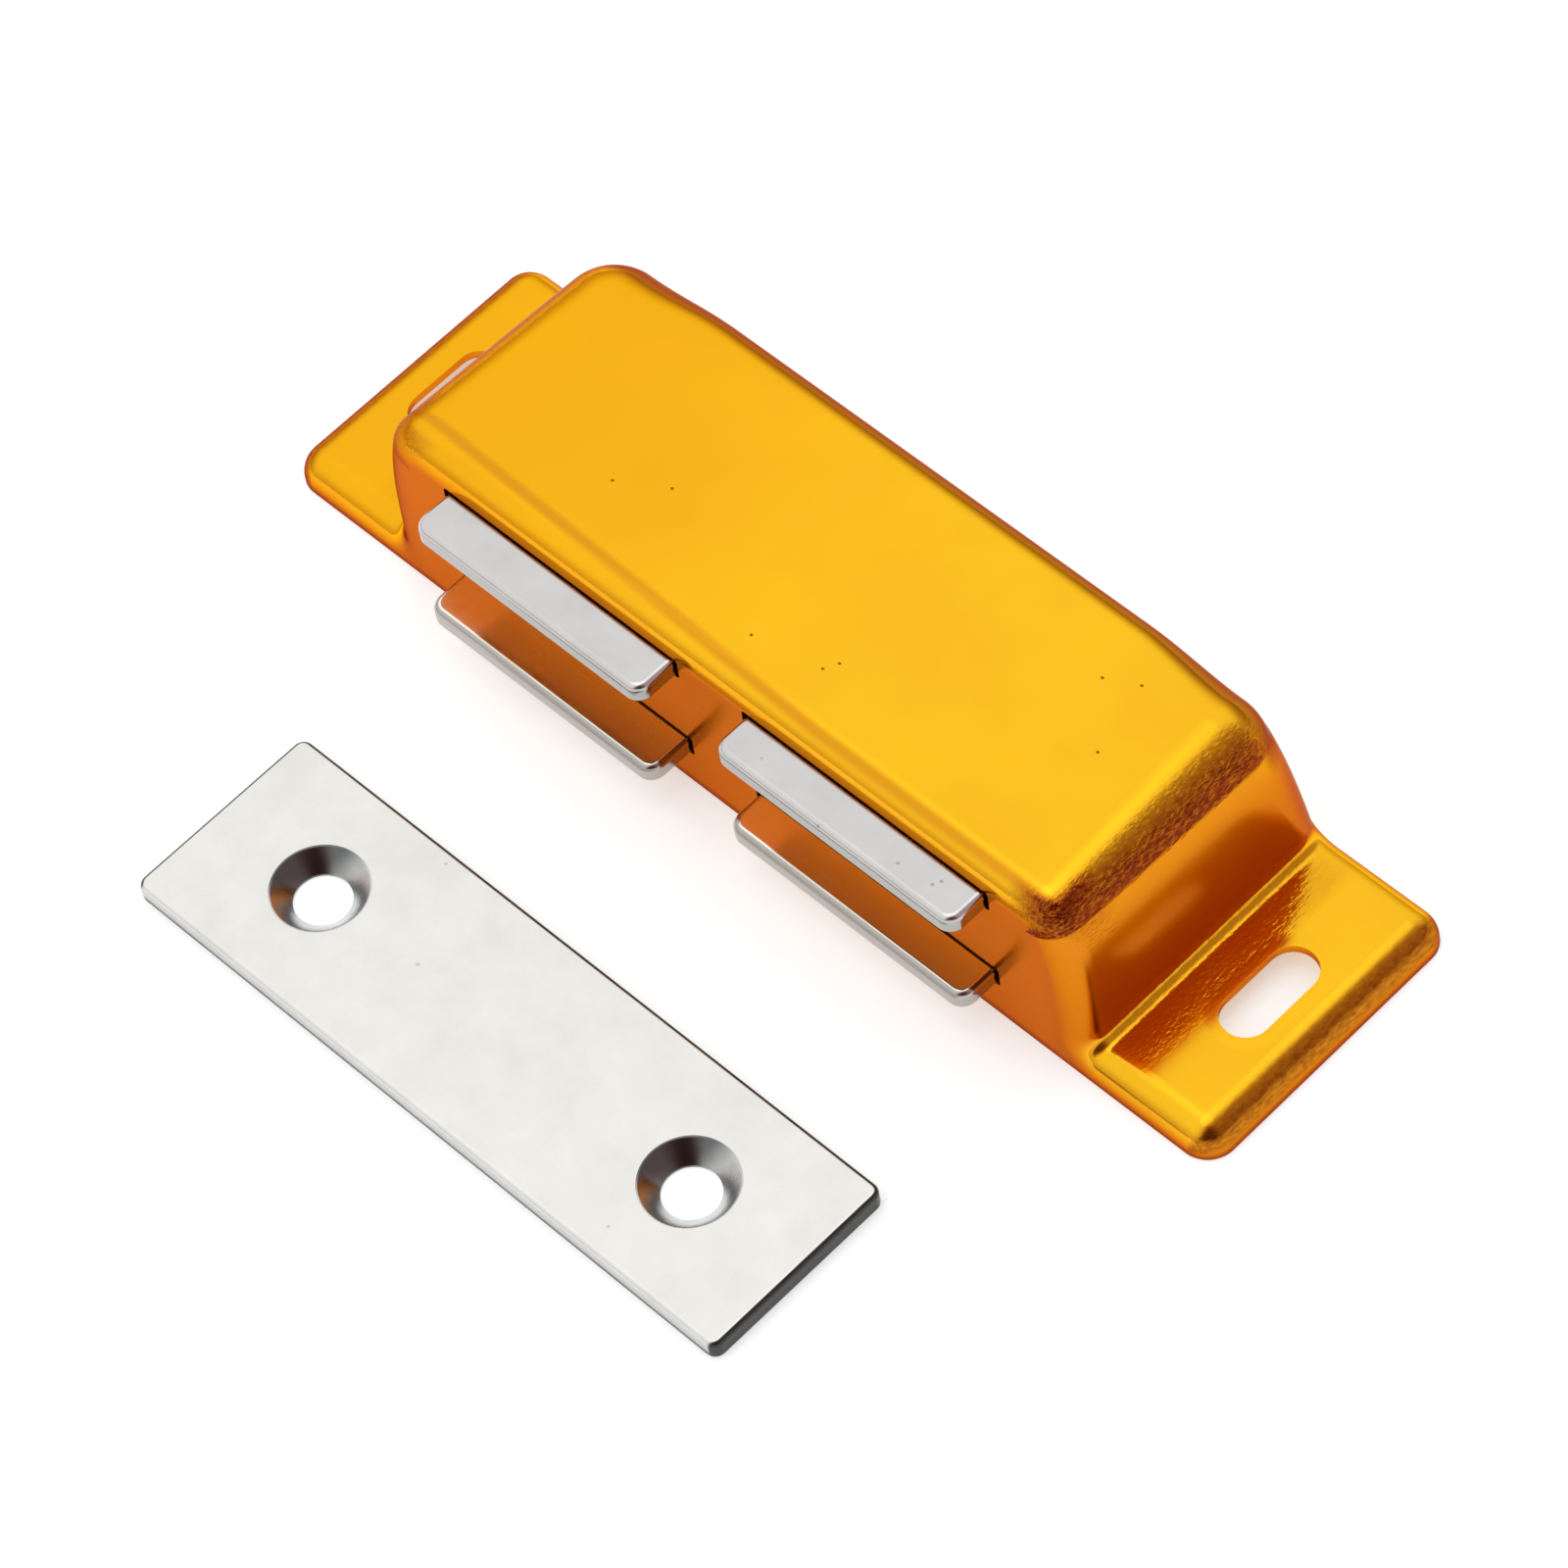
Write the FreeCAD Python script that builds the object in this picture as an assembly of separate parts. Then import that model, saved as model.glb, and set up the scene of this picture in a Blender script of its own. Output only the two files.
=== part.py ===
import FreeCAD, Part
import math
import os

# Double magnetic catch with its strike plate, in millimetres.
# The long side lies along X, the pole plates face -Y and Z points up from the mounting plane.
# The origin is the middle of the case on the mounting plane.

Vector = FreeCAD.Vector
X_AXIS = Vector(1, 0, 0)
Y_AXIS = Vector(0, 1, 0)
Z_AXIS = Vector(0, 0, 1)

# Case, drawn from one sheet: a tall body between two low flanges
sheet = 0.8
case_length = 95.1
case_width = 25.9
case_height = 18.1
flange_height = 2.75
flange_length = 12.45
end_draft = 1.5
rear_draft = 5.4
edge_radius = 2.4
foot_radius = 1.65
body_radius = 3.8

# Screw slots in the two flanges
screw_slot_width = 4.0
screw_slot_length = 8.9
screw_slot_end_distance = 5.7
screw_slot_y = -0.3

# Magnet packs: a ferrite block between two steel pole plates
pack_spacing = 4.55
pack_end_space = 6.525
lower_pole_z = 4.2
pole_drop = 2.5
pole_thickness = 1.6
pole_reach = 3.5
pole_corner_radius = 1.3
pole_edge_radius = 0.4
pole_ear = 1.3
magnet_side_step = 2.15
magnet_chamfer = 0.5

# How far the left pack's plates have crept forward on their magnet
left_upper_creep = 0.25
left_lower_creep = 0.6

# Clearances
pole_slot_gap = 0.3
ear_gap = 0.1
magnet_front_gap = 0.6
pack_travel = 0.6
pack_rear_gap = 0.1
pack_side_gap = 0.25
pack_height_gap = 0.15
cavity_gap = 0.12

# Holder and cover that keep the packs in the case
holder_rear_wall = 2.97
cover_thickness = 1.5
peg_diameter = 2.4
peg_length = 5.0
peg_pitch_y = 15.0
peg_wall_gap = 0.1
peg_end_gap = 0.5
core_width = 2.4
core_length = 9.0
core_roof = 2.0

# Strike plate, which lies in front of the case
strike_length = 60.1
strike_width = 17.2
strike_thickness = 1.7
strike_corner_radius = 0.9
strike_edge_radius = 0.35
strike_hole_pitch = 38.3
strike_hole_diameter = 4.5
countersink_diameter = 7.5
countersink_angle = 90.0
strike_x = 1.75
strike_y = -38.3

# How far a cutting shape runs past the solid that it cuts
overcut = 2.0
# How near a point lies to a face that it is on
touch = 1e-4

# Lengths along the case
body_length = case_length - 2 * flange_length
screw_slot_pitch = case_length - 2 * screw_slot_end_distance
pole_back_width = (body_length - pack_spacing) / 2 - pack_end_space
pole_width = pole_back_width - 2 * pole_ear
pack_pitch = pole_back_width + pack_spacing
magnet_width = pole_back_width - 2 * magnet_side_step
pocket_half_width = pole_back_width / 2 + pack_side_gap

# Faces that other pieces seat on
front_y = -case_width / 2
inner_front_y = front_y + sheet
rear_top_y = case_width / 2 - case_height * math.tan(math.radians(rear_draft))
upper_pole_top = case_height - pole_drop
upper_pole_z = upper_pole_top - pole_thickness
magnet_bottom = lower_pole_z + pole_thickness
ear_front_y = inner_front_y + ear_gap + max(left_upper_creep, left_lower_creep)
magnet_front_y = ear_front_y + magnet_front_gap
pocket_rear_y = rear_top_y - sheet - cavity_gap - holder_rear_wall
pack_rear_y = pocket_rear_y - pack_travel - pack_rear_gap
cover_top = lower_pole_z - pack_height_gap
cover_bottom = cover_top - cover_thickness


def box(low, high):
    """A box from its lowest to its highest corner."""
    size = high - low
    return Part.makeBox(size.x, size.y, size.z, low)


def slab(bottom, top):
    """A layer between two heights, wider than the case on every side."""
    return box(Vector(-case_length, -case_length, bottom), Vector(case_length, case_length, top))


def end_points(edge):
    """The first and last point of an edge."""
    return edge.valueAt(edge.FirstParameter), edge.valueAt(edge.LastParameter)


def edges_at(shape, test):
    """The edges of a shape whose ends and middle all pass a test."""
    found = []
    for edge in shape.Edges:
        middle = edge.valueAt((edge.FirstParameter + edge.LastParameter) / 2)
        if all(test(point) for point in (*end_points(edge), middle)):
            found.append(edge)
    return found


def upright_edges(shape):
    """The edges of a shape that stand along Z."""
    found = []
    for edge in shape.Edges:
        first, last = end_points(edge)
        if math.hypot(last.x - first.x, last.y - first.y) < touch < abs(last.z - first.z):
            found.append(edge)
    return found


def rounded_outline(corners):
    """A closed wire in the XZ plane through (x, z, radius) corners."""
    points = [Vector(x, 0, z) for x, z, radius in corners]
    edges = []
    starts = []
    ends = []
    for index, (x, z, radius) in enumerate(corners):
        corner = points[index]
        back = (points[index - 1] - corner).normalize()
        ahead = (points[(index + 1) % len(points)] - corner).normalize()
        half_angle = back.getAngle(ahead) / 2
        run = radius / math.tan(half_angle)
        starts.append(corner + back * run)
        ends.append(corner + ahead * run)
        if radius > 0:
            bisector = (back + ahead).normalize()
            to_arc = radius / math.sin(half_angle) - radius
            edges.append(Part.Arc(starts[-1], corner + bisector * to_arc, ends[-1]).toShape())
    for index, end in enumerate(ends):
        edges.append(Part.makeLine(end, starts[(index + 1) % len(starts)]))
    return Part.Wire(Part.__sortEdges__(edges))


def end_wall_x(z, inset):
    """Half the body's length at a height, on the surface that lies inset from the outside."""
    slope = math.radians(end_draft)
    return body_length / 2 - inset / math.cos(slope) - (z - flange_height) * math.tan(slope)


def rear_wall_y(z, inset):
    """The rear wall's place at a height, on the surface that lies inset from the outside."""
    slope = math.radians(rear_draft)
    return case_width / 2 - inset / math.cos(slope) - z * math.tan(slope)


def tapered_bar(right_side, inset):
    """A bar along X with the case's sloping rear wall, from the (x, z, radius) corners of its right side."""
    left_side = [(-x, z, radius) for x, z, radius in reversed(right_side)]
    profile = Part.Face(rounded_outline(right_side + left_side))
    profile.translate(Y_AXIS * (front_y + inset))
    bar = profile.extrude(Y_AXIS * case_width)

    low = bar.BoundBox.ZMin - overcut
    high = bar.BoundBox.ZMax + overcut
    behind = [
        Vector(-case_length, rear_wall_y(low, inset), low),
        Vector(-case_length, rear_wall_y(high, inset), high),
        Vector(-case_length, case_width, high),
        Vector(-case_length, case_width, low),
    ]
    wedge = Part.Face(Part.makePolygon(behind + behind[:1])).extrude(X_AXIS * 2 * case_length)
    return bar.cut(wedge)


def long_edge_sizes(bar, inset):
    """The number of each edge round the bar's front and rear, with the size to dress at its two ends.

    The body's rear corners and its ends have a larger radius than its front edge and the flanges.
    The radius grows along the foot arcs between flange and body.
    """
    flange_top = flange_height - inset
    bar_top = bar.BoundBox.ZMax

    def on_front(point):
        return abs(point.y - front_y - inset) < touch

    def on_rear(point):
        return abs(point.y - rear_wall_y(point.z, inset)) < touch

    def rear_radius(point):
        return body_radius if point.z > flange_top + touch else edge_radius

    sizes = []
    for number, edge in enumerate(bar.Edges, 1):
        ends = end_points(edge)
        heights = [point.z for point in ends]
        if max(heights) < bar.BoundBox.ZMin + touch:
            continue
        if all(on_front(point) for point in ends):
            radii = (edge_radius, edge_radius)
        elif all(on_rear(point) for point in ends):
            radii = tuple(rear_radius(point) for point in ends)
        elif min(heights) > bar_top - touch:
            radii = (body_radius, body_radius)
        else:
            continue
        sizes.append((number, radii[0] - inset, radii[1] - inset))
    return sizes


def dressed(kind, bar, sizes):
    """The bar with the numbered edges filleted or chamfered."""
    document = FreeCAD.newDocument()
    sharp = document.addObject("Part::Feature", "Sharp")
    sharp.Shape = bar
    dress = document.addObject(kind, "Dressed")
    dress.Base = sharp
    dress.Edges = sizes
    document.recompute()
    shape = dress.Shape.copy()
    FreeCAD.closeDocument(document.Name)
    return shape


def drawn_form(inset, bottom):
    """The solid form of the case: flanges and body, with every face moved in by inset."""
    flange_top = flange_height - inset
    body_top = case_height - inset
    half_length = case_length / 2 - inset
    right_side = [
        (half_length, bottom, 0),
        (half_length, flange_top, edge_radius - inset),
        (end_wall_x(flange_top, inset), flange_top, foot_radius + inset),
        (end_wall_x(body_top, inset), body_top, 0),
    ]
    bar = tapered_bar(right_side, inset)
    return dressed("Part::Fillet", bar, long_edge_sizes(bar, inset))


def moulded_block():
    """The block that fills the case's body with a gap all round, its edges cut off under the rolled ones."""
    inset = sheet + cavity_gap
    top = case_height - inset
    right_side = [(end_wall_x(cover_bottom, inset), cover_bottom, 0), (end_wall_x(top, inset), top, 0)]
    bar = tapered_bar(right_side, inset)
    return dressed("Part::Chamfer", bar, long_edge_sizes(bar, inset))


def obround(width, length, height):
    """An upright slot with round ends that runs along Y, centred on the origin's Z axis."""
    radius = width / 2
    half_run = length / 2 - radius
    slot = box(Vector(-radius, -half_run, 0), Vector(radius, half_run, height))
    for side in (-1, 1):
        slot = slot.fuse(Part.makeCylinder(radius, height, Vector(0, side * half_run, 0)))
    return slot.removeSplitter()


def pole_slot(pack_x, pole_z):
    """The cutter for one pole plate's slot in the front wall."""
    half_width = pole_width / 2 + pole_slot_gap
    return box(
        Vector(pack_x - half_width, front_y - overcut, pole_z - pole_slot_gap),
        Vector(pack_x + half_width, inner_front_y + overcut, pole_z + pole_thickness + pole_slot_gap),
    )


def make_case():
    """The drawn case, open below, with its pole slots and screw slots."""
    case = drawn_form(0, 0).cut(drawn_form(sheet, -overcut))
    for pack_x in pack_places.values():
        for pole_z in (lower_pole_z, upper_pole_z):
            case = case.cut(pole_slot(pack_x, pole_z))
    for side in (-1, 1):
        slot = obround(screw_slot_width, screw_slot_length, flange_height + overcut)
        slot.translate(Vector(side * screw_slot_pitch / 2, screw_slot_y, 0))
        case = case.cut(slot)
    return case


def make_pole(pack_x, pole_z, creep):
    """A stamped pole plate: its nose stands out of the case and its ears stop behind the front wall."""
    nose_y = front_y - pole_reach - creep
    neck_y = ear_front_y - creep
    rear_y = pack_rear_y - creep
    top_z = pole_z + pole_thickness
    half_nose = pole_width / 2
    half_back = pole_back_width / 2
    nose_end = neck_y + pole_ear
    nose = box(Vector(pack_x - half_nose, nose_y, pole_z), Vector(pack_x + half_nose, nose_end, top_z))
    back = box(Vector(pack_x - half_back, neck_y, pole_z), Vector(pack_x + half_back, rear_y, top_z))
    front_corners = [edge for edge in upright_edges(nose) if edge.BoundBox.YMax < neck_y]
    nose = nose.makeFillet(pole_corner_radius, front_corners)
    plate = nose.fuse(back).removeSplitter()

    def round_the_nose(point):
        return abs(point.z - top_z) < touch and point.y < neck_y + touch

    rolled = [edge for edge in edges_at(plate, round_the_nose) if edge.BoundBox.YMin < neck_y - touch]
    return plate.makeFillet(pole_edge_radius, rolled)


def make_magnet(pack_x):
    """The ferrite block of one pack, face to face with its two pole plates."""
    block = box(
        Vector(pack_x - magnet_width / 2, magnet_front_y, magnet_bottom),
        Vector(pack_x + magnet_width / 2, pack_rear_y, upper_pole_z),
    )
    return block.makeChamfer(magnet_chamfer, upright_edges(block))


def end_wall_middle():
    """The middle, along X, of the holder's end wall beside the right pack."""
    return (pack_pitch / 2 + pocket_half_width + end_wall_x(case_height, sheet + cavity_gap)) / 2


def peg_places():
    """The four pegs that join cover and holder, in the end walls beside the packs."""
    middle = end_wall_middle()
    return [Vector(side * middle, row * peg_pitch_y / 2, 0) for side in (-1, 1) for row in (-1, 1)]


def make_holder():
    """The moulded holder: a deck under the case's top, with walls beside, between and behind the packs."""
    holder = moulded_block().common(slab(cover_top, case_height))
    for pack_x in pack_places.values():
        pocket = box(
            Vector(pack_x - pocket_half_width, front_y, cover_top - overcut),
            Vector(pack_x + pocket_half_width, pocket_rear_y, upper_pole_top + pack_height_gap),
        )
        holder = holder.cut(pocket)
    bore_radius = peg_diameter / 2 + peg_wall_gap
    bore_height = peg_length + peg_end_gap + overcut
    for place in peg_places():
        bore = Part.makeCylinder(bore_radius, bore_height, place + Z_AXIS * (cover_top - overcut))
        holder = holder.cut(bore)
    for side in (-1, 1):
        middle = side * end_wall_middle()
        core = box(
            Vector(middle - core_width / 2, -core_length / 2, cover_top - overcut),
            Vector(middle + core_width / 2, core_length / 2, upper_pole_top - core_roof),
        )
        holder = holder.cut(core)
    return holder


def make_cover():
    """The moulded cover that closes the body from below, with four pegs into the holder."""
    cover = moulded_block().common(slab(cover_bottom, cover_top))
    for place in peg_places():
        cover = cover.fuse(Part.makeCylinder(peg_diameter / 2, peg_length, place + Z_AXIS * cover_top))
    return cover


def make_strike():
    """The stamped steel strike plate, rolled round its top, with two countersunk screw holes."""
    middle = Vector(strike_x, strike_y, 0)
    half = Vector(strike_length / 2, strike_width / 2, 0)
    plate = box(middle - half, middle + half + Z_AXIS * strike_thickness)
    plate = plate.makeFillet(strike_corner_radius, upright_edges(plate))
    top_edges = edges_at(plate, lambda point: abs(point.z - strike_thickness) < touch)
    plate = plate.makeFillet(strike_edge_radius, top_edges)
    hole_radius = strike_hole_diameter / 2
    sink_radius = countersink_diameter / 2
    sink_depth = (sink_radius - hole_radius) / math.tan(math.radians(countersink_angle / 2))
    for side in (-1, 1):
        centre = middle + X_AXIS * side * strike_hole_pitch / 2
        hole = Part.makeCylinder(hole_radius, strike_thickness + 2 * overcut, centre - Z_AXIS * overcut)
        sink_bottom = centre + Z_AXIS * (strike_thickness - sink_depth)
        sink = Part.makeCone(hole_radius, sink_radius, sink_depth, sink_bottom)
        plate = plate.cut(hole.fuse(sink))
    return plate


pack_places = {"left": -pack_pitch / 2, "right": pack_pitch / 2}
upper_creeps = {"left": left_upper_creep, "right": 0}
lower_creeps = {"left": left_lower_creep, "right": 0}

pieces = {
    "case": make_case(),
    "magnet_holder": make_holder(),
    "base_cover": make_cover(),
    "strike_plate": make_strike(),
}
for side_name, place_x in pack_places.items():
    pieces[side_name + "_upper_pole"] = make_pole(place_x, upper_pole_z, upper_creeps[side_name])
    pieces[side_name + "_lower_pole"] = make_pole(place_x, lower_pole_z, lower_creeps[side_name])
    pieces[side_name + "_magnet"] = make_magnet(place_x)

os.makedirs("parts", exist_ok=True)
for node, shape in pieces.items():
    shape.exportStep("parts/" + node + ".step")
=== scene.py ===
import math

import bmesh
import bpy
from mathutils import Matrix, Vector


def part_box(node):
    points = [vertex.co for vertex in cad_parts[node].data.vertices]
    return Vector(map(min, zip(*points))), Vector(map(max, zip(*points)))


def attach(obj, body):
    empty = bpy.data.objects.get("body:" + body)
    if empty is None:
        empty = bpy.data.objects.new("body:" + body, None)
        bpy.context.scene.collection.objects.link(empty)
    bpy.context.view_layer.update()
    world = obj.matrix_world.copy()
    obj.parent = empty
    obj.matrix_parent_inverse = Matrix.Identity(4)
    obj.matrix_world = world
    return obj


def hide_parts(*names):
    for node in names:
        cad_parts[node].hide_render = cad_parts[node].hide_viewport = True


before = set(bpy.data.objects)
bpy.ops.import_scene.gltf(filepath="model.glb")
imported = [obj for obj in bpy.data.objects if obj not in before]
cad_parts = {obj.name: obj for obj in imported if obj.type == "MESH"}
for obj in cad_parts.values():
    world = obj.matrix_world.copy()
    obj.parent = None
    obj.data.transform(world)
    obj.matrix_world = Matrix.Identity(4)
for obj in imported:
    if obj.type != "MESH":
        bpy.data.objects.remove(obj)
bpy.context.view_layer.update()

bl_info = {
    "name": "Double magnetic catch",
    "version": (1, 0, 0),
    "blender": (4, 5, 0),
    "location": "3D View > Sidebar > Catch",
    "description": "Builds the drawn case, pole plates, strike plate and studio of a double magnetic catch",
    "category": "Object",
}

MM = 0.001
CASE_LOW, CASE_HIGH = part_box("case")
STRIKE_LOW, STRIKE_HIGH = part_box("strike_plate")
PACKS = ("left", "right")
SMOOTH_ANGLE = math.radians(38)
PUNCHED_ANGLE = math.radians(50)

# Pits in the case's top as (x, y) and nicks on the right upper pole plate as (x, y, z), all in mm
TOP_PITS = (
    (-17.0, -5.4), (-13.1, -3.1), (0.5, -8.7), (6.5, -7.5), (7.1, -6.4), (26.4, -0.1), (22.3, 4.8),
    (24.9, 6.1),
)
POLE_NICKS = ((20.8, -15.0, 15.6), (24.2, -14.1, 15.6), (23.9, -14.7, 15.6), (14.2, -16.35, 15.4))
PIT_RADIUS = 0.16 * MM
NICK_RADIUS = 0.22 * MM
RING_PITCH = 0.10 * MM

# Fades on the metals as (start, end), or as (start, end, low, high) where they don't go from 0 to 1.
# By the turn from level, in radians, round the arc of an edge
BROW_IN, BROW_OUT = (0.15, 1.05), (1.31, 1.19)
RIM_IN, RIM_OUT = (0.05, 0.75), (1.5, 1.15, 0.0, 0.65)
# By how level the surface is: 0 where it is upright, 1 where it is level
CORNER_IN, CORNER_OUT = (0.985, 0.85), (0.15, 0.45)
# Painted shade: how far the upright walls take the darker, redder wall gold
WALL_SHADE = (0.75, 0.15)
WALL_ROUGHNESS = (0.5, 0.1, 0.0, 0.12)
REAR_EDGE_TURN = (0.985, 0.83, 0.0, 0.7)
END_WALL_TURN = (0.5, 0.2, 0.0, 0.12)
STEEL_SIDES = (0.7, 0.2, 0.0, 0.75)
LOWER_PLATE_SIDES = (0.99, 0.9, 0.0, 0.85)
SHEARED_TURN, SIDE_FOOT_SHADE_TURN = (0.985, 0.93), (0.9, 0.4)
# By the place along X
DYE_RUN = (-30 * MM, 12 * MM)
BROW_RUN = (0.0, 10 * MM, 0.4)
FOOT_RUN = (0.0, 10 * MM, 0.25, 0.8)
FURROW_RUN = (-30 * MM, 10 * MM, 2.9 * MM, 1.35 * MM)
# By the place along Y, and by the distance from the case's sides
BROW_DEPTH = (11 * MM, 7.5 * MM, 0.25)
REAR_EDGE_DEPTH = (8 * MM, 9.5 * MM)
FOOT_INSET = (0.4 * MM, 4 * MM)
# By the height above the mounting plane, above the flanges, or below the top
SKIRT = (1.1 * MM, 0.1 * MM, 0.0, 0.6)
CORNER_HEIGHT = (8 * MM, 10 * MM)
REAR_EDGE_HEIGHT = (12 * MM, 15 * MM)
LOWER_PLATE = (9 * MM, 7 * MM)
# Height of the painted shade along the foot of the strike plate's sides
SIDE_FOOT_SHADE_HEIGHT = (0.8 * MM, 0.2 * MM)
ABOVE_FLANGE = (1 * MM, 2 * MM)
UNDER_TOP = (1.5 * MM, 0.8 * MM, 0.0, 0.85)
# By the distance from the foot of an end wall, a corner, a line or an edge
FOOT_IN, FOOT_OUT = (-0.2 * MM, 0.3 * MM), (4.8 * MM, 2.9 * MM)
END_WALL_IN, END_WALL_OUT = (-4 * MM, -2 * MM), (0.8 * MM, 0.2 * MM)
CORNER_INSET = 2.2 * MM
CORNER_REACH = (5.0 * MM, 1.6 * MM)
FURROW_REACH = (0.8 * MM, 0.1 * MM)
SLOT_RIDGE = (1.2 * MM, -0.2 * MM)
SINK_SHADE = (0.2 * MM, 2.6 * MM, 0.0, 0.95)
# In the studio sky, by how far a direction points to the rear, to the right or up
REAR_LIGHT = (-0.3, 0.8)
RIGHT_LIGHT = (0.2, 0.7)
HIGH_LIGHT, OVERHEAD_LIGHT = (0.0, 0.62), (0.84, 1.0)
FLAG_SIDE, FLAG_FOOT, FLAG_REAR = (0.05, 0.46), (0.20, 0.30), (-0.45, 0.2)

# Strength of the painted reflection at the feet, in shaded wall gold and in dark grain, and of the parts of
# each metal's bumps
FOOT_WALL_SHADE, FOOT_DARK = 0.3, 0.2
WAVE_BUMP, RIDGE_BUMP, RIM_GRAIN, PLAIN_GRAIN, PIT_BUMP = 0.16, 0.35, 0.15, 0.004, -0.7
CLOUD_BUMP, STEEL_GRAIN, SPECK_BUMP = 0.4, 0.10, -0.35


def length(name, description, default, **more):
    return bpy.props.FloatProperty(
        name=name, description=description, default=default, min=0.0, unit="LENGTH", precision=5, **more
    )


def angle(name, description, degrees):
    return bpy.props.FloatProperty(
        name=name, description=description, default=math.radians(degrees), subtype="ANGLE"
    )


def colour(name, description, default):
    return bpy.props.FloatVectorProperty(
        name=name, description=description, default=default, size=3, min=0.0, max=1.0, subtype="COLOR"
    )


def share(name, description, default, limit=1.0):
    return bpy.props.FloatProperty(
        name=name, description=description, default=default, min=0.0, max=limit, subtype="FACTOR"
    )


class CaseSettings(bpy.types.PropertyGroup):
    sheet: length("Sheet", "Thickness of the drawn sheet", 0.8 * MM)
    flange: length("Flange height", "Height of the two screw flanges", 2.75 * MM)
    body: length("Body length", "Length of the tall body just above the flanges", 71.3 * MM)
    edge: length("Front edge radius", "Rolled radius of the front edge and the flanges", 2.4 * MM)
    foot: length("Foot radius", "Hollow radius between flange and end wall", 1.0 * MM)
    brow_front: length("Front brow radius", "Radius between end wall and top, at the front", 3.4 * MM)
    brow_rear: length("Rear brow radius", "Radius between end wall and top, at the rear", 4.8 * MM)
    corner: length("Rear corner radius", "Radius of the body's rear corners at their top", 4.8 * MM)
    rear_top: length("Rear top radius", "Radius along the middle of the rear top edge", 3.1 * MM)
    corner_run: length("Corner run", "How far the rear top edge takes to reach its own radius", 9.0 * MM)
    foot_lean: angle("Foot lean", "Lean of the end walls just above the flanges", 0.5)
    brow_lean: angle("Brow lean", "Lean of the end walls where the brow begins", 17.0)
    rear_draft: angle("Rear draft", "Lean of the rear wall", 5.4)
    slot_gap: length("Slot gap", "Gap round a pole plate in the front wall", 0.3 * MM)
    slot_corner: length("Slot corner", "Corner radius of a pole slot", 0.35 * MM)
    screw_width: length("Screw slot width", "Width of a screw slot", 4.0 * MM)
    screw_length: length("Screw slot length", "Length of a screw slot", 8.9 * MM)
    screw_x: length("Screw slot place", "Distance of a screw slot from the middle", 41.85 * MM)
    screw_y: bpy.props.FloatProperty(
        name="Screw slot offset", description="Place of the screw slots across the case",
        default=-0.3 * MM, unit="LENGTH", precision=5,
    )
    lip: length("Lip", "Rounding of the punched edges", 0.12 * MM)


class PoleSettings(bpy.types.PropertyGroup):
    ear: length("Ear", "How far the ears reach past the nose", 1.3 * MM)
    corner: length("Corner radius", "Radius of the nose's two front corners", 1.3 * MM)
    edge: length("Edge radius", "Rolled radius round the face of the plate", 0.6 * MM)
    burr: length("Lower edge radius", "Radius round the underside", 0.12 * MM)
    neck: length("Neck", "Length of the nose, from its front to the ears", 5.6 * MM)


class StrikeSettings(bpy.types.PropertyGroup):
    corner: length("Corner radius", "Radius of the plate's corners", 0.9 * MM)
    edge: length("Edge radius", "Rolled radius round the top", 0.45 * MM)
    burr: length("Lower edge radius", "Radius round the underside", 0.1 * MM)
    pitch: length("Hole pitch", "Distance between the two screw holes", 38.3 * MM)
    hole: length("Hole diameter", "Diameter of the screw holes", 4.5 * MM)
    sink: length("Countersink diameter", "Diameter of the countersinks at the top", 7.5 * MM)


class FinishSettings(bpy.types.PropertyGroup):
    gold: colour("Gold", "Colour of the anodised sheet", (0.96, 0.53, 0.013))
    deep_gold: colour("Deep gold", "Colour of the sheet towards its left end", (0.93, 0.45, 0.006))
    # Painted shade: the darker, redder gold that the upright walls, brows, rims and feet take in place of the
    # dimmer light they reflect
    shaded_wall_gold: colour("Wall gold", "Colour of the drawn walls, which took more dye", (0.75, 0.235, 0.009))
    # Also the slow mottle of the sheet; behind the front edge of the top it is painted shade along the
    # furrow.
    mottle_and_furrow_shade: colour("Furrow gold", "Colour in the furrow behind the front edge", (0.72, 0.30, 0.010))
    gold_edge: colour("Gold at an angle", "Tint where light glances off the sheet", (0.58, 0.28, 0.19))
    # Also the colour of the pits and of the grain; on the brows, rims and feet, and in the bands along the
    # lowest edge, the rear top edge and the end walls, it is painted dark reflection and shade.
    grain_pits_and_shade: colour("Stretched gold", "Colour of the grain on tight edges", (0.22, 0.030, 0.004))
    pole: colour("Pole steel", "Colour of the plated pole plates", (0.65, 0.64, 0.63))
    # Painted reflection: the warm gold that the lower pole plates mirror from the case, painted into their
    # colour.
    lower_pole: colour("Lower pole steel", "Warmer colour of the lower pole plates", (0.95, 0.88, 0.76))
    steel: colour("Strike steel", "Colour of the plated strike plate", (0.81, 0.80, 0.765))
    # Painted shade on the steel plates' side faces; also the colour of the nicks and specks.
    side: colour("Side steel", "Colour of the steel plates' side faces", (0.36, 0.35, 0.33))
    # Painted shade on the strike plate's long sides.
    rolled_edge_shade: colour("Rolled edge", "Colour of the strike plate's long sides", (0.55, 0.545, 0.53))
    # The sheared edge's colour, darkened further as painted shade, and painted shade along the foot of the
    # strike plate's sides.
    cut_edge_and_shade: colour("Cut edge", "Colour of the strike plate's sheared edge", (0.06, 0.062, 0.058))
    turned: colour("Turned steel", "Colour of the countersinks", (0.78, 0.79, 0.78))
    shaded: colour("Shaded steel", "Colour at the rear of the countersinks", (0.11, 0.12, 0.115))
    ferrite: colour("Ferrite", "Colour of the magnets", (0.035, 0.034, 0.036))
    plastic: colour("Plastic", "Colour of the holder and the cover", (0.030, 0.031, 0.034))
    grain: share("Grain", "Depth of the grain where the sheet was drawn tight", 0.9)
    wear: share("Wear", "Strength of the nicks, pits and specks", 0.8)


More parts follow.
